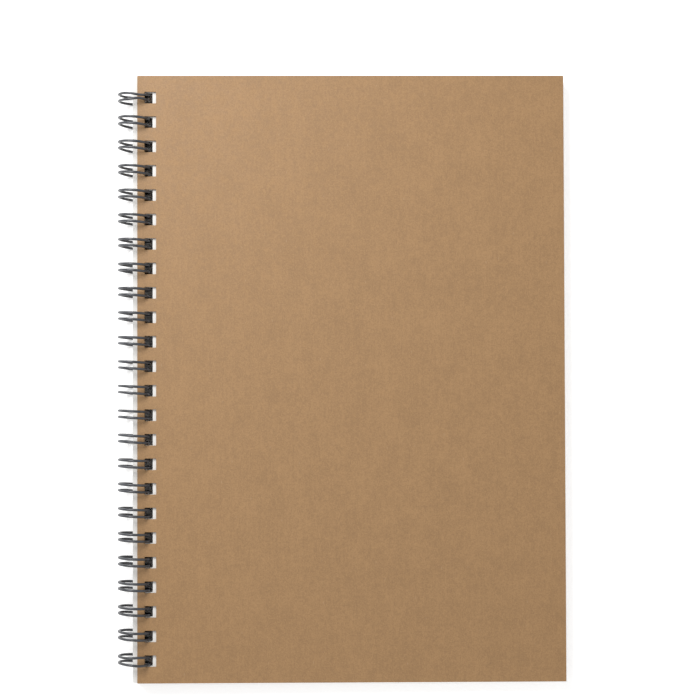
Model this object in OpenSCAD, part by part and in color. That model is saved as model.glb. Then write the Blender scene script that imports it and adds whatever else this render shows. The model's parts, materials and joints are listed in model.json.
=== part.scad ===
// A wire-bound sketchbook, lying closed on its back cover.
// Lengths are in millimetres and angles in degrees. +Z is up and +Y runs along the spine.
// The origin is at the middle of the book's footprint, on the surface it lies on.
// The rings are wider than the stack of covers and leaves, so they lift the spine a little,
// and the back cover touches the surface along its fore-edge only.
// Sheets are placed from the rings' centre line, close to which they turn.

/* [Covers] */
// Width of a cover, from its spine edge to its fore-edge
cover_w = 148; // [120:1:180]
// Height of a cover, along the spine
cover_h = 210; // [170:1:260]
// Thickness of the kraft board
cover_t = 0.9; // [0.7:0.05:1.1]

/* [Leaves] */
// Number of leaves of drawing paper
leaf_count = 24; // [12:1:28]
// Thickness of one leaf
leaf_t = 0.17; // [0.14:0.01:0.2]
// Air between neighbouring sheets
leaf_gap = 0.02; // [0.02:0.005:0.03]

/* [Punched holes] */
// Holes in each inch of the spine
holes_per_inch = 3; // [2, 3]
// Width of the strip between the spine edge and the holes
hole_inset = 2.5; // [2.1:0.1:3]
// Least distance from the head or tail edge to the middle of the nearest hole
hole_margin = 6; // [5:0.5:10]
// Room across the spine that a hole leaves beside a wire, for the ring's curve
curve_air = 3.1; // [2.7:0.1:4]
// Air between a ring's wires and each end of their hole along the spine
side_air = 0.375; // [0.3:0.025:0.45]
// Air between the inside of the rings and the spine side of the front cover's holes
front_air = 0.53; // [0.44:0.01:0.64]
// Air between the inside of the rings and the spine side of the back cover's holes
back_air = 0.19; // [0.15:0.01:0.25]
// Air between the outside of the rings and the far side of the leaves' holes
leaf_air = 0.78; // [0.65:0.01:0.95]

/* [Wire] */
// Diameter of the wire
wire_d = 0.9; // [0.7:0.05:1]
// Spacing of the two wires that pass through one hole
pair_spacing = 2.35; // [2.2:0.05:2.4]
// Air between the back cover and the rings below it
air_below = 0.75; // [0.7:0.05:1]
// Air between the front cover and the rings above it
air_above = 2.57; // [2.4:0.01:2.8]
// Radius of the bends where a ring meets the straight runs between the rings
bend_r = 0.8; // [0.7:0.05:1]
// Least air between those bends and the back cover
bend_air = 0.15; // [0.12:0.01:0.25]
// Length of straight wire left at each end of the binding
end_stub = 1; // [0.5:0.1:1.5]

/* [Hidden] */
$fn = 48;
inch = 25.4;

// The stack of covers and leaves, and the rings around it
leaf_pitch = leaf_t + leaf_gap;
stack_t = 2 * cover_t + leaf_count * leaf_pitch + leaf_gap;
ring_in = (stack_t + air_below + air_above) / 2;
ring_out = ring_in + wire_d;
ring_r = ring_in + wire_d / 2;

// Heights from the rings' centre line: outer faces of the covers, and the lowest leaf
stack_low = air_below - ring_in;
stack_top = stack_low + stack_t;
leaves_low = stack_low + cover_t + leaf_gap;

// The punched holes, and the sheets' spine edges right of the rings' centre line
hole_w = wire_d + curve_air;
hole_h = pair_spacing + wire_d + 2 * side_air;
front_edge = inside_at(stack_top) - front_air - hole_inset;
back_edge = inside_at(stack_low) - back_air - hole_inset;
leaf_edge = ring_out + leaf_air - hole_w - hole_inset;

// The slope that brings the back cover's fore-edge down to the surface
back_reach = back_edge + cover_w;
slope = asin(ring_out / norm([back_reach, stack_low])) - atan(-stack_low / back_reach);

// The rings' centre line: half of the footprint left of the origin, and as high as a ring's radius
reach_right = (front_edge + cover_w) * cos(slope) + stack_top * sin(slope);
ring_x = (ring_out - reach_right) / 2;
ring_z = ring_out;

// Rings along the spine, one in each hole
ring_pitch = inch / holes_per_inch;
ring_count = floor((cover_h - 2 * hole_margin) / ring_pitch) + 1;
pair_half = pair_spacing / 2;
// Overlap of the two halves of a straight run, which makes them one piece
run_lap = 0.01;
// The ball that joins a ring's wire to its tip: how far short of its middle each of them stops,
// and how much wider than the wire it is
weld_angle = 1;
weld_swell = 0.03;

// A ring's two wires start from bends just below the back cover, run up through the holes and
// round the spine, and meet in a bend at the very bottom that faces the gap they started from.
start_angle = -asin((ring_in - air_below + bend_air + wire_d / 2) / ring_r);
tip_angle = 270;

function leaf_name(n) = str("leaf_", n < 10 ? "0" : "", n);
function ring_y(n) = (n - (ring_count - 1) / 2) * ring_pitch;

// How far right of their centre line the inside of the rings is, at a height
function inside_at(height) = sqrt(ring_in ^ 2 - height ^ 2);

// A sheet with a row of square holes, its spine edge on the Y axis
module punched_sheet(thickness) {
    linear_extrude(thickness)
        difference() {
            translate([0, -cover_h / 2])
                square([cover_w, cover_h]);
            for (n = [0 : ring_count - 1])
                translate([hole_inset, ring_y(n) - hole_h / 2])
                    square([hole_w, hole_h]);
        }
}

// Lays a sheet in the sloping stack, from its spine edge and the height of its lower face
module in_stack(edge, low) {
    translate([ring_x, 0, ring_z])
        rotate([0, slope, 0])
            translate([edge, 0, low])
                children();
}

module front_cover() {
    color("#b08d64")
        in_stack(front_edge, stack_top - cover_t)
            punched_sheet(cover_t);
}

module back_cover() {
    color("#b08d64")
        in_stack(back_edge, stack_low)
            punched_sheet(cover_t);
}

// Leaf 1 lies under the front cover
module leaf(n) {
    color("#f7f5ef")
        in_stack(leaf_edge, leaves_low + (leaf_count - n) * leaf_pitch)
            punched_sheet(leaf_t);
}

// Wire bent to a radius in the XY plane, centred on the origin
module bent_wire(radius, from, to) {
    rotate_extrude(angle = to - from, start = from)
        translate([radius, 0])
            circle(d = wire_d);
}

// A straight length of wire along +Y
module straight_wire(length) {
    rotate([-90, 0, 0])
        cylinder(d = wire_d, h = length);
}

// One wire of a ring in the plane y = 0, starting level with the rings' centre line
module ring_wire() {
    rotate([90, 0, 0])
        bent_wire(ring_r, 0, tip_angle - start_angle - weld_angle);
}

// The bend at the start of a ring wire, which turns it towards +Y, and a straight run after it
module bend_to_run(length) {
    translate([ring_r, 0, 0])
        rotate([0, 90, 0])
            translate([0, bend_r, 0]) {
                bent_wire(bend_r, 270, 360);
                translate([bend_r, 0, 0])
                    straight_wire(length);
            }
}

// Half a ring on the +Y side of the middle of a hole, turned round to where it starts
module half_ring(run) {
    translate([0, pair_half, 0])
        rotate([0, -start_angle, 0]) {
            ring_wire();
            bend_to_run(run);
        }
}

// Half of the bend that joins a ring's two wires, flat on the surface below the spine,
// and the weld between it and one of them, its poles inside the wire
module half_tip() {
    translate([0, 0, -ring_r]) {
        bent_wire(pair_half, 0, 90 - weld_angle);
        translate([0, pair_half, 0])
            rotate([0, 90, 0])
                sphere(d = wire_d + weld_swell);
    }
}

// A whole ring, with the run towards its neighbour at +Y or the cut end there
module ring(run_after, run_before) {
    half_ring(run_after);
    half_tip();
    mirror([0, 1, 0]) {
        half_ring(run_before);
        half_tip();
    }
}

module binding_wire() {
    half_run = (ring_pitch - pair_spacing) / 2 - bend_r + run_lap;
    color("#33363a")
        translate([ring_x, 0, ring_z])
            for (n = [0 : ring_count - 1])
                translate([0, ring_y(n), 0])
                    ring(n < ring_count - 1 ? half_run : end_stub, n > 0 ? half_run : end_stub);
}

front_cover();
for (n = [1 : leaf_count])
    leaf(n);
back_cover();
binding_wire();
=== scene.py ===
"""The looks of the wire-bound sketchbook: kraft covers, drawing paper and the twin-ring wire.

Lengths are in metres and angles in radians unless a name says otherwise. +Z is up and +Y runs
along the spine, towards the head of the book.
"""
import json
import math
import random

import bpy
from mathutils import Matrix, Vector

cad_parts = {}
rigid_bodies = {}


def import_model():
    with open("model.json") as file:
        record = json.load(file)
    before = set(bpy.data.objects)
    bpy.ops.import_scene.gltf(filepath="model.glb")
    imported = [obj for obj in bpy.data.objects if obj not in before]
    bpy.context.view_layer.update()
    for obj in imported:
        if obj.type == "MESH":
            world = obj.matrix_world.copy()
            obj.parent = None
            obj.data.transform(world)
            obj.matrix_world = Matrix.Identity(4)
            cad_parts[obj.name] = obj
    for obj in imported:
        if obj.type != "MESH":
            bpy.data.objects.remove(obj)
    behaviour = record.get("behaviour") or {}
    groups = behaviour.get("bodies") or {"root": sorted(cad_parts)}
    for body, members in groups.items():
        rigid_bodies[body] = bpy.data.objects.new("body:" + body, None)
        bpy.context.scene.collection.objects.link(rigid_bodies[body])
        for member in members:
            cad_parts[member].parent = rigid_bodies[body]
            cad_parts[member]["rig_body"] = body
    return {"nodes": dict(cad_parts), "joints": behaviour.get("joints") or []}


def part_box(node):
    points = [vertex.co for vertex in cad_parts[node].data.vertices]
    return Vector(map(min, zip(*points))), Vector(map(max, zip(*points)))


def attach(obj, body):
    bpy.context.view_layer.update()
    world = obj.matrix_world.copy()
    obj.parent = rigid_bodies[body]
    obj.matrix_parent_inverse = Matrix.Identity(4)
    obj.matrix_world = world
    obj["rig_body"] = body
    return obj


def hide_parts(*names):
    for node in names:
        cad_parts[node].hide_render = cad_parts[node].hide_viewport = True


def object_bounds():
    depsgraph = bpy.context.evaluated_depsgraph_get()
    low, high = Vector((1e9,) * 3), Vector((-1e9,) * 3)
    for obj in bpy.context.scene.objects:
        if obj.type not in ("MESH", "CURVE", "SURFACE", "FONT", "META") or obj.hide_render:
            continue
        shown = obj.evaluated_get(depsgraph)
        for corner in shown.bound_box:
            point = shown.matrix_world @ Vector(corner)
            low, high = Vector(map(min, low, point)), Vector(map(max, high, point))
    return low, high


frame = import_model()
cad_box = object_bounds()

MM = 0.001

# The covers and the leaves, as they are cut and punched. HOLE_INSET is the strip between the spine
# edge and the holes, and PUNCH_BAND the strip of the mesh that holds the row of holes.
BOARD_THICK = 0.9 * MM
LEAF_THICK = 0.17 * MM
HOLE_COUNT = 24
HOLE_PITCH = 25.4 / 3 * MM
HOLE_INSET = 2.5 * MM
HOLE_WIDE = 4.0 * MM
HOLE_TALL = 4.0 * MM
PUNCH_BAND = 10 * MM

# The wire and its rings. Angles go round a ring from the fore-edge side, upwards and over the
# spine: where its wires start below the back cover, where they leave the front cover's holes, and
# where they meet in the tip.
WIRE_THICK = 0.9 * MM
PAIR_SPACING = 2.35 * MM
BEND_RADIUS = 0.8 * MM
END_STUB = 1.0 * MM
RING_START = math.radians(-62.47)
HOLE_ANGLE = math.radians(28)
RING_TIP = math.radians(270)

SHEETS = [name for name in frame["nodes"] if name != "binding_wire"]
LEAVES = sorted(name for name in SHEETS if name.startswith("leaf_"))


# ---------------------------------------------------------------- places from the frame

def body_of(node):
    return frame["nodes"][node]["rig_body"]


def joint_place(name):
    found = [joint for joint in frame["joints"] if joint["name"] == name]
    return Vector(found[0]["pos_m"])


# How often the slope of a sheet is worked out again from the last one, until it holds still
SLOPE_ROUNDS = 8


def sheet_place(node, thick):
    """A sheet's length across, its height along the spine, and the matrix that lays it in the
    sloping stack, from its spine edge and its lower face."""
    low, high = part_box(node)
    slope = 0.0
    for _ in range(SLOPE_ROUNDS):
        rise = high.z - low.z - thick * math.cos(slope)
        reach = high.x - low.x - thick * math.sin(slope)
        slope = math.atan2(rise, reach)
    across = math.hypot(rise, reach)
    corner = Vector((low.x, 0, high.z - thick * math.cos(slope)))
    place = Matrix.Translation(corner) @ Matrix.Rotation(slope, 4, "Y")
    return across, high.y - low.y, place


# ---------------------------------------------------------------- materials

class Finish:
    """A node material with one Principled shader and a few short ways to add to it."""

    def __init__(self, name, roughness, specular):
        self.material = bpy.data.materials.new(name)
        self.material.use_nodes = True
        self.tree = self.material.node_tree
        self.shader = self.tree.nodes["Principled BSDF"]
        self.shader.inputs["Roughness"].default_value = roughness
        self.shader.inputs["Specular IOR Level"].default_value = specular
        coordinates = self.tree.nodes.new("ShaderNodeTexCoord")
        self.place = coordinates.outputs["Object"]

    def link(self, source, target):
        self.tree.links.new(source, target)

    def stretched(self, scale, turn=0.0):
        """Object coordinates in millimetres, stretched along the axes."""
        mapping = self.tree.nodes.new("ShaderNodeMapping")
        mapping.inputs["Scale"].default_value = [s / MM for s in scale]
        mapping.inputs["Rotation"].default_value = (0, 0, turn)
        self.link(self.place, mapping.inputs["Vector"])
        return mapping.outputs["Vector"]

    def noise(self, scale, detail=3.0, roughness=0.55):
        texture = self.tree.nodes.new("ShaderNodeTexNoise")
        texture.inputs["Scale"].default_value = 1
        texture.inputs["Detail"].default_value = detail
        texture.inputs["Roughness"].default_value = roughness
        self.link(self.stretched(scale), texture.inputs["Vector"])
        return texture.outputs["Fac"]

    def specks(self, scale, size, share, turn=0.0):
        """1 on a few small spots, 0 elsewhere: one spot in some of the cells of a Voronoi."""
        texture = self.tree.nodes.new("ShaderNodeTexVoronoi")
        texture.inputs["Scale"].default_value = 1
        self.link(self.stretched(scale, turn), texture.inputs["Vector"])
        spot = self.remap(texture.outputs["Distance"], size, size * 0.4, 0, 1)
        split = self.tree.nodes.new("ShaderNodeSeparateColor")
        self.link(texture.outputs["Color"], split.inputs["Color"])
        chosen = self.remap(split.outputs["Red"], share, share * 0.9, 0, 1)
        return self.sum_of([(spot, 1)], "MULTIPLY", chosen)

    def remap(self, value, low, high, to_low, to_high):
        node = self.tree.nodes.new("ShaderNodeMapRange")
        node.inputs["From Min"].default_value = low
        node.inputs["From Max"].default_value = high
        node.inputs["To Min"].default_value = to_low
        node.inputs["To Max"].default_value = to_high
        self.link(value, node.inputs["Value"])
        return node.outputs["Result"]

    def sum_of(self, terms, operation="ADD", start=None):
        """The terms, each (value, weight), added to start or combined with it."""
        total = start
        for value, weight in terms:
            scaled = self.tree.nodes.new("ShaderNodeMath")
            scaled.operation = "MULTIPLY"
            scaled.inputs[1].default_value = weight
            self.link(value, scaled.inputs[0])
            if total is None:
                total = scaled.outputs[0]
                continue
            joined = self.tree.nodes.new("ShaderNodeMath")
            joined.operation = operation
            self.link(total, joined.inputs[0])
            self.link(scaled.outputs[0], joined.inputs[1])
            total = joined.outputs[0]
        return total

    def ramp(self, value, stops):
        node = self.tree.nodes.new("ShaderNodeValToRGB")
        elements = node.color_ramp.elements
        while len(elements) < len(stops):
            elements.new(0.5)
        for element, (position, colour) in zip(elements, stops):
            element.position = position
            element.color = (*colour, 1)
        self.link(value, node.inputs["Fac"])
        return node.outputs["Color"]

    def over(self, base, colour, share):
        """A flat colour laid over the base colour, as thickly as share says."""
        node = self.tree.nodes.new("ShaderNodeMix")
        node.data_type = "RGBA"
        sockets = [s for s in node.inputs if s.name in ("A", "B") and s.type == "RGBA"]
        sockets[1].default_value = (*colour, 1)
        self.link(base, sockets[0])
        self.link(share, node.inputs["Factor"])
        return [s for s in node.outputs if s.type == "RGBA"][0]

    def paint(self, colour):
        self.link(colour, self.shader.inputs["Base Color"])

    def shine(self, roughness):
        """A roughness that varies over the surface."""
        self.link(roughness, self.shader.inputs["Roughness"])

    def outside(self, middle, half, rim):
        """1 outside a rectangle of the object's XY plane, 0 inside it."""
        split = self.tree.nodes.new("ShaderNodeSeparateXYZ")
        self.link(self.place, split.inputs["Vector"])
        shares = []
        for axis in range(2):
            distance = self.tree.nodes.new("ShaderNodeMath")
            distance.operation = "SUBTRACT"
            distance.inputs[1].default_value = middle[axis]
            self.link(split.outputs[axis], distance.inputs[0])
            size = self.tree.nodes.new("ShaderNodeMath")
            size.operation = "ABSOLUTE"
            self.link(distance.outputs[0], size.inputs[0])
            shares.append(self.remap(size.outputs[0], half[axis], half[axis] + rim, 0, 1))
        return self.sum_of([(shares[0], 1), (shares[1], 1)], "MAXIMUM")

    def glow(self, share, strength):
        """Light of the material's own, as strong as strength where share is 1."""
        self.link(self.sum_of([(share, strength)]), self.shader.inputs["Emission Strength"])

    def bump(self, height, distance, strength):
        node = self.tree.nodes.new("ShaderNodeBump")
        node.inputs["Distance"].default_value = distance
        node.inputs["Strength"].default_value = strength
        self.link(height, node.inputs["Height"])
        self.link(node.outputs["Normal"], self.shader.inputs["Normal"])


# Linear colours of the board's pulp and of its flecks
KRAFT_DARK = (0.278, 0.150, 0.054)
KRAFT_MID = (0.319, 0.174, 0.064)
KRAFT_LIGHT = (0.362, 0.201, 0.077)
KRAFT_FLECK_DARK = (0.190, 0.098, 0.046)
KRAFT_FLECK_LIGHT = (0.480, 0.320, 0.185)


def kraft_face():
    """Brown board: cloudy pulp, a faint upright grain, light and dark fibres, a fine tooth."""
    finish = Finish("kraft_face", roughness=0.58, specular=0.8)
    clouds = finish.noise((0.10, 0.08, 0.1), detail=4)
    mottle = finish.noise((0.55, 0.42, 0.5), detail=4, roughness=0.6)
    grain = finish.noise((1.5, 0.10, 0.4), detail=3)
    fibre = finish.noise((1.2, 1.0, 1.1), detail=3)
    pulp = finish.noise((2.6, 2.3, 2.4), detail=2)
    shares = [(clouds, 0.12), (mottle, 0.22), (grain, 0.09), (fibre, 0.22), (pulp, 0.35)]
    tone = finish.sum_of(shares)
    colour = finish.ramp(tone, [(0.42, KRAFT_DARK), (0.5, KRAFT_MID), (0.58, KRAFT_LIGHT)])
    dark = finish.specks((0.22, 0.16, 0.2), size=0.055, share=0.30, turn=0.6)
    fibres = finish.specks((0.50, 0.16, 0.3), size=0.10, share=0.35, turn=-0.5)
    colour = finish.over(colour, KRAFT_FLECK_DARK, finish.sum_of([(dark, 0.55)]))
    colour = finish.over(colour, KRAFT_FLECK_LIGHT, finish.sum_of([(fibres, 0.30)]))
    finish.paint(colour)
    finish.shine(finish.remap(mottle, 0.3, 0.7, 0.52, 0.64))
    tooth = finish.noise((5.0, 4.0, 5.0), detail=4, roughness=0.65)
    finish.bump(finish.sum_of([(tooth, 0.6), (pulp, 0.4), (grain, 0.35)]), 0.02 * MM, 0.7)
    return finish.material


def kraft_cut():
    """The cut edge of the board, where its pressed layers show as fine lines."""
    finish = Finish("kraft_cut", roughness=0.8, specular=0.5)
    layers = finish.noise((0.25, 0.25, 7.0), detail=2)
    torn = finish.noise((2.4, 2.4, 5.0), detail=3)
    tone = finish.sum_of([(layers, 0.6), (torn, 0.4)])
    stops = [(0.36, KRAFT_FLECK_DARK), (0.5, KRAFT_DARK), (0.66, KRAFT_LIGHT)]
    finish.paint(finish.ramp(tone, stops))
    finish.bump(tone, 0.06 * MM, 0.8)
    return finish.material


PAPER_SHADE = (0.775, 0.770, 0.750)
PAPER_WHITE = (0.812, 0.807, 0.787)
PAPER_FUZZ = (0.70, 0.69, 0.66)


def paper_face():
    """Uncoated drawing paper with a fine tooth."""
    finish = Finish("paper_face", roughness=0.86, specular=0.25)
    clouds = finish.noise((0.12, 0.12, 0.1), detail=3)
    tooth = finish.noise((3.2, 3.2, 3.2), detail=4, roughness=0.6)
    tone = finish.sum_of([(clouds, 0.4), (tooth, 0.6)])
    finish.paint(finish.ramp(tone, [(0.30, PAPER_SHADE), (0.55, PAPER_WHITE)]))
    finish.shine(finish.remap(tooth, 0.3, 0.7, 0.80, 0.92))
    finish.bump(tooth, 0.015 * MM, 0.6)
    return finish.material


def paper_cut():
    """The cut edge of a leaf, a little rougher and greyer than its faces."""
    finish = Finish("paper_cut", roughness=0.92, specular=0.15)
    fuzz = finish.noise((3.0, 3.0, 9.0), detail=3)
    finish.paint(finish.ramp(fuzz, [(0.30, PAPER_FUZZ), (0.62, PAPER_WHITE)]))
    finish.bump(fuzz, 0.02 * MM, 0.6)
    return finish.material


WIRE_DEEP = (0.018, 0.020, 0.025)
WIRE_WORN = (0.042, 0.046, 0.056)


def wire_coating():
    """Satin near-black coating, worn a little lighter in places."""
    finish = Finish("wire_coating", roughness=0.34, specular=0.95)
    flow = finish.noise((0.45, 0.45, 0.45), detail=3)
    grit = finish.noise((5.0, 5.0, 5.0), detail=2)
    finish.paint(finish.ramp(flow, [(0.38, WIRE_DEEP), (0.68, WIRE_WORN)]))
    finish.shine(finish.remap(flow, 0.3, 0.7, 0.30, 0.44))
    finish.bump(grit, 0.012 * MM, 0.5)
    return finish.material


# ---------------------------------------------------------------- sheets

def hole_heights():
    """Where the middles of the holes lie along the spine, from the tail to the head."""
    middle = (HOLE_COUNT - 1) / 2
    return [(n - middle) * HOLE_PITCH for n in range(HOLE_COUNT)]


# The four corners of a hole, as signs, and the direction in degrees where each corner's arc starts
HOLE_CORNERS = [(1, 1, 0), (-1, 1, 90), (-1, -1, 180), (1, -1, 270)]

# How each point of a corner's arc is joined to the cell around the hole: shares of the way to the
# cell's corner, first along the arc's starting direction and then square to it
CORNER_SHARES = [(1, 0), (1, 0.5), (1, 1), (0.5, 1), (0, 1)]


# Points closer than a metre divided by this are the same point, as vectors are only that exact
POINT_GRID = 1e6


class Outline:
    """A flat net of faces, whose corners are shared by their place."""

    def __init__(self):
        self.points = []
        self.index = {}
        self.faces = []

    def point(self, x, y):
        key = (round(x * POINT_GRID), round(y * POINT_GRID))
        if key not in self.index:
            self.index[key] = len(self.points)
            self.points.append((x, y))
        return self.index[key]

    def face(self, *corners):
        self.faces.append([self.point(x, y) for x, y in corners])

    def grid(self, xs, ys):
        for left, right in zip(xs, xs[1:]):
            for low, high in zip(ys, ys[1:]):
                self.face((left, low), (right, low), (right, high), (left, high))

    def rim(self):
        """The directed edges that only one face has."""
        edges = set()
        for face in self.faces:
            edges.update(zip(face, face[1:] + face[:1]))
        return [(a, b) for a, b in edges if (b, a) not in edges]


def punch_cell(net, height, round_off):
    """The faces between one hole and the cell of the sheet around it."""
    inner, outer = [], []
    for sign_x, sign_y, start in HOLE_CORNERS:
        centre = Vector((
            HOLE_INSET + HOLE_WIDE / 2 + sign_x * (HOLE_WIDE / 2 - round_off),
            height + sign_y * (HOLE_TALL / 2 - round_off),
        ))
        corner = Vector((PUNCH_BAND if sign_x > 0 else 0, height + sign_y * HOLE_PITCH / 2))
        along = Vector((math.cos(math.radians(start)), math.sin(math.radians(start))))
        square = Vector((-along.y, along.x))
        reach_along = (corner - centre).dot(along)
        reach_square = (corner - centre).dot(square)
        for step, (share_along, share_square) in enumerate(CORNER_SHARES):
            angle = math.radians(start + step * 90 / (len(CORNER_SHARES) - 1))
            inner.append(centre + round_off * Vector((math.cos(angle), math.sin(angle))))
            outer.append(centre + along * reach_along * share_along
                         + square * reach_square * share_square)
    count = len(inner)
    for n in range(count):
        after = (n + 1) % count
        net.face(outer[n], outer[after], inner[after], inner[n])


def sheet_net(across, tall, round_off, columns):
    """The sheet's outline with its row of holes, its spine edge on the Y axis."""
    net = Outline()
    heights = hole_heights()
    for height in heights:
        punch_cell(net, height, round_off)
    inner_left = HOLE_INSET + round_off
    inner_right = HOLE_INSET + HOLE_WIDE - round_off
    band = [0, inner_left / 2, inner_left, inner_right, (inner_right + PUNCH_BAND) / 2, PUNCH_BAND]
    field = [PUNCH_BAND + (across - PUNCH_BAND) * n / columns for n in range(columns + 1)]
    rows = [heights[0] - HOLE_PITCH / 2]
    arc_middle = HOLE_TALL / 2 - round_off
    for height in heights:
        quarter = (arc_middle + HOLE_PITCH / 2) / 2
        rows += [height - quarter, height - arc_middle, height + arc_middle, height + quarter]
        rows.append(height + HOLE_PITCH / 2)
    net.grid(field, rows)
    for ends in ([-tall / 2, rows[0]], [rows[-1], tall / 2]):
        net.grid(band, ends)
        net.grid(field, ends)
    return net


def sheet_mesh(name, net, thick):
    """A closed plate from a net: its lower face at 0, its upper face at thick, cut edges apart."""
    count = len(net.points)
    points = [(x, y, 0) for x, y in net.points] + [(x, y, thick) for x, y in net.points]
    upper = [[corner + count for corner in face] for face in net.faces]
    lower = [face[::-1] for face in net.faces]
    walls = [[a, b, b + count, a + count] for a, b in net.rim()]
    mesh = bpy.data.meshes.new(name)
    mesh.from_pydata(points, [], upper + lower + walls)
    mesh.update()
    flat_faces = len(upper) + len(lower)
    mesh.polygons.foreach_set("material_index", [0] * flat_faces + [1] * len(walls))
    return mesh


def make_sheet(node, name, thick, materials, columns, corner, edge_round):
    """A punched sheet in its place, with holes rounded by corner and edges by edge_round. Its
    materials are the one of its faces and the one of its cut edges."""
    across, tall, place = sheet_place(node, thick)
    net = sheet_net(across, tall, corner, columns)
    sheet = bpy.data.objects.new(name, sheet_mesh(name, net, thick))
    bpy.context.scene.collection.objects.link(sheet)
    for material in materials:
        sheet.data.materials.append(material)
    if edge_round:
        bevel = sheet.modifiers.new("edges", "BEVEL")
        bevel.width = edge_round
        bevel.segments = 2
        bevel.limit_method = "ANGLE"
        bevel.angle_limit = math.radians(60)
        bevel.harden_normals = True
    sheet.matrix_world = place
    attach(sheet, body_of(node))
    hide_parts(node)
    return sheet


def make_covers(face, cut):
    for node in ("front_cover", "back_cover"):
        make_sheet(node, node + "_board", BOARD_THICK, (face, cut),
                   columns=12, corner=0.22 * MM, edge_round=0.06 * MM)


LEAF_SEED = 24
# How unevenly the leaves lie: across the spine, along it, and how far their head leans out
STAGGER_ACROSS = 0.10 * MM
TRIM_ALONG = 0.28 * MM
FAN_OUT = 0.0030
# How much further the uppermost leaves reach past their holes at the spine than the others do
SPINE_REACH = (0.45 * MM, 0.36 * MM, 0.24 * MM)


def loosen(sheet, draw, depth, reach):
    """Shifts a leaf a hair within its place, as leaves lie in a bound block. depth is 0 for the
    top leaf and 1 for the lowest, whose head end lies further out. reach widens the spine strip."""
    tall = max(v.co.y for v in sheet.data.vertices)
    shift = draw.uniform(-1, 1) * STAGGER_ACROSS
    trim = 1 - draw.uniform(0.2, 1) * TRIM_ALONG / tall
    lean = FAN_OUT * (0.2 + 0.8 * depth) * draw.uniform(0.4, 1)
    for vertex in sheet.data.vertices:
        vertex.co.y *= trim
        if vertex.co.x < HOLE_INSET / 2:
            vertex.co.x -= reach
        vertex.co.x += shift - lean * max(vertex.co.y, 0) ** 2 / tall


def make_leaves(face, cut):
    draw = random.Random(LEAF_SEED)
    for order, node in enumerate(LEAVES):
        sheet = make_sheet(node, node + "_paper", LEAF_THICK, (face, cut),
                           columns=2, corner=0.18 * MM, edge_round=0)
        reach = SPINE_REACH[order] if order < len(SPINE_REACH) else 0
        loosen(sheet, draw, order / (len(LEAVES) - 1), reach)


# ---------------------------------------------------------------- the binding wire

WIRE_SEED = 9
# How far a ring's two wires lean towards the head at the spine side, at the tail and the head ring
LEAN_TAIL = 0.52 * MM
LEAN_HEAD = 0.70 * MM
# How close a ring's two wires come at the spine side, as a share of their spacing in the holes
FAR_SPREAD = 0.94
# The end rings are bent: the lean of each, and how wide its wires stand where they cross the cover
BENT_RINGS = {0: (0.50 * MM, 1.26), HOLE_COUNT - 1: (0.10 * MM, 0.50)}
BENT_ANGLE = math.radians(62)
BENT_REACH = math.radians(34)


def lean_share(angle):
    """0 where a wire passes the holes, 1 at the far side of the spine, 0 again near the tip."""
    if angle < HOLE_ANGLE:
        return 0.0
    if angle < math.pi:
        part = (angle - HOLE_ANGLE) / (math.pi - HOLE_ANGLE)
        return math.sin(part * math.pi / 2) ** 1.2
    part = (angle - math.pi) / (RING_TIP - math.pi)
    return math.cos(part * math.pi / 2)


def bent_share(angle):
    """1 where a wire crosses the cover, falling to 0 along it both ways."""
    return math.exp(-((angle - BENT_ANGLE) / BENT_REACH) ** 2)


def ring_habit(number, draw):
    """A ring's lean, its spacing at the spine side and its spacing over the cover."""
    lean = LEAN_TAIL + (LEAN_HEAD - LEAN_TAIL) * number / (HOLE_COUNT - 1)
    lean, over_cover = BENT_RINGS.get(number, (lean, 1.0))
    return (lean + draw.uniform(-0.09, 0.09) * MM, FAR_SPREAD * draw.uniform(0.96, 1.04),
            over_cover * draw.uniform(0.98, 1.02))


def arc_steps(start, stop, count):
    return [start + (stop - start) * n / count for n in range(count + 1)]


def ring_path(number, height, radius, draw):
    """The centre line of one ring, from the bend before it to the bend after it: the wires of a
    pair leave the runs between the rings, go round the spine and meet in the tip."""
    half = PAIR_SPACING / 2
    outward = Vector((math.cos(RING_START), 0, math.sin(RING_START)))
    upward = Vector((-math.sin(RING_START), 0, math.cos(RING_START)))
    along = Vector((0, 1, 0))
    lean, far, over_cover = ring_habit(number, draw)

    def bend(side, step):
        depth = BEND_RADIUS * math.cos(step)
        offset = half + BEND_RADIUS * (1 - math.sin(step))
        return outward * radius - upward * depth + along * (height + side * offset)

    def turn(side, angle):
        share = lean_share(angle)
        spread = 1 + (far - 1) * share + (over_cover - 1) * bent_share(angle)
        offset = side * half * spread + lean * share
        return Vector((radius * math.cos(angle), height + offset, radius * math.sin(angle)))

    bends = arc_steps(0, math.pi / 2, 6)
    turns = arc_steps(RING_START, RING_TIP, 52)
    tips = arc_steps(-math.pi / 2, math.pi / 2, 14)[1:-1]
    path = [bend(-1, step) for step in bends]
    path += [turn(-1, angle) for angle in turns[1:]]
    path += [Vector((half * math.cos(a), height + half * math.sin(a), -radius)) for a in tips]
    path += [turn(1, angle) for angle in turns[::-1]]
    path += [bend(1, step) for step in bends[::-1][1:]]
    return path


def wire_path(radius):
    """The centre line of the whole wire, from the stub at the tail to the one at the head."""
    draw = random.Random(WIRE_SEED)
    path = []
    for number, height in enumerate(hole_heights()):
        path += ring_path(number, height, radius, draw)
    first, last = path[0], path[-1]
    stub = Vector((0, END_STUB, 0))
    return [first - stub] + path + [last + stub]


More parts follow.
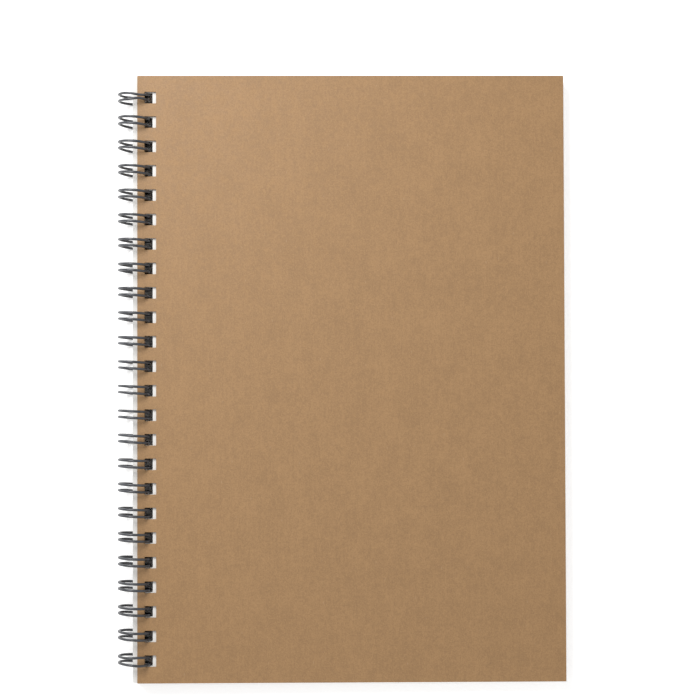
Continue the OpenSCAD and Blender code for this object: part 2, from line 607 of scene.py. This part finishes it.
def make_wire(material):
    """The wire, as a mesh along its centre line. Its rings turn round the wire's own joint."""
    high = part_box("binding_wire")[1]
    axis = joint_place("wire_turn")
    radius = high.z - axis.z - WIRE_THICK / 2
    curve = bpy.data.curves.new("wire_line", "CURVE")
    curve.dimensions = "3D"
    curve.bevel_depth = WIRE_THICK / 2
    curve.bevel_resolution = 5
    curve.use_fill_caps = True
    spline = curve.splines.new("POLY")
    points = [axis + point for point in wire_path(radius)]
    spline.points.add(len(points) - 1)
    spline.points.foreach_set("co", [c for point in points for c in (*point, 1)])
    line = bpy.data.objects.new("wire_line", curve)
    bpy.context.scene.collection.objects.link(line)
    graph = bpy.context.evaluated_depsgraph_get()
    mesh = bpy.data.meshes.new_from_object(line.evaluated_get(graph))
    bpy.data.objects.remove(line)
    mesh.name = "binding_wire_rings"
    mesh.shade_smooth()
    wire = bpy.data.objects.new("binding_wire_rings", mesh)
    bpy.context.scene.collection.objects.link(wire)
    wire.data.materials.clear()
    wire.data.materials.append(material)
    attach(wire, body_of("binding_wire"))
    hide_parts("binding_wire")


# ---------------------------------------------------------------- floor, light and camera

# How far the floor goes each way, and how far below the book it lies
FLOOR_REACH = 3.0
FLOOR_DROP = 0.02 * MM
# How much painted light the floor gives of its own, which lifts the book's shadow on the floor, and
# how wide the rim is where it fades out
FLOOR_PAINTED_LIGHT = 0.37
GLOW_RIM = 1.0 * MM
# The lamp, from the middle of the book, its width and its power in watts, and the room's light
KEY_PLACE = Vector((-0.24, 0.30, 0.41))
KEY_SIZE = 0.28
KEY_POWER = 2.30
ROOM_LIGHT = 0.67
# The camera's place, how far it is turned about X, Y and Z, and its angle of view, in degrees
CAMERA_PLACE = Vector((1.57, -2.66, 596.00)) * MM
CAMERA_TURN = (1.201, -0.140, -0.155)
CAMERA_ANGLE = 23.25


def beyond_sheets(finish):
    """Where the floor's painted light lies: 1 on the floor around the sheets, 0 below them, so that
    the punched holes stay dark.
    """
    spine = joint_place("front_cover_turn").x
    middle = ((spine + cad_box[1].x) / 2, (cad_box[0].y + cad_box[1].y) / 2)
    half = ((cad_box[1].x - spine) / 2, (cad_box[1].y - cad_box[0].y) / 2)
    return finish.outside(middle, half, GLOW_RIM)


def make_floor():
    """A white floor just below the book, glowing around the sheets with painted light that lifts
    the book's shadow on it.
    """
    mesh = bpy.data.meshes.new("floor")
    size = FLOOR_REACH
    corners = [(-size, -size, 0), (size, -size, 0), (size, size, 0), (-size, size, 0)]
    mesh.from_pydata(corners, [], [(0, 1, 2, 3)])
    floor = bpy.data.objects.new("floor", mesh)
    bpy.context.scene.collection.objects.link(floor)
    finish = Finish("pale_floor", roughness=0.95, specular=0.1)
    finish.shader.inputs["Base Color"].default_value = (0.97, 0.97, 0.97, 1)
    finish.shader.inputs["Emission Color"].default_value = (1, 1, 1, 1)
    # Painted light: the floor glows around the sheets so that the book's shadow on it fades
    finish.glow(beyond_sheets(finish), FLOOR_PAINTED_LIGHT)
    mesh.materials.append(finish.material)
    floor.location.z = cad_box[0].z - FLOOR_DROP


def make_light():
    """A soft key from above the head of the book, on the spine side, in a bright white room."""
    middle = (cad_box[0] + cad_box[1]) / 2
    light = bpy.data.lights.new("key", "AREA")
    light.shape = "DISK"
    light.size = KEY_SIZE
    light.energy = KEY_POWER
    lamp = bpy.data.objects.new("key", light)
    lamp.location = middle + KEY_PLACE
    lamp.rotation_euler = (-KEY_PLACE).to_track_quat("-Z", "Y").to_euler()
    bpy.context.scene.collection.objects.link(lamp)
    world = bpy.data.worlds.new("room")
    world.use_nodes = True
    room = world.node_tree.nodes["Background"]
    room.inputs["Color"].default_value = (1.0, 1.0, 1.0, 1)
    room.inputs["Strength"].default_value = ROOM_LIGHT
    bpy.context.scene.world = world
    bpy.context.scene.view_settings.view_transform = "Standard"


def make_camera():
    """Straight above the book, a little off its middle and barely tilted."""
    data = bpy.data.cameras.new("camera")
    data.angle = math.radians(CAMERA_ANGLE)
    data.clip_start = 0.01
    camera = bpy.data.objects.new("camera", data)
    camera.location = CAMERA_PLACE
    camera.rotation_euler = [math.radians(turn) for turn in CAMERA_TURN]
    bpy.context.scene.collection.objects.link(camera)
    bpy.context.scene.camera = camera


def main():
    make_covers(kraft_face(), kraft_cut())
    make_leaves(paper_face(), paper_cut())
    make_wire(wire_coating())
    make_floor()
    make_light()
    make_camera()


main()
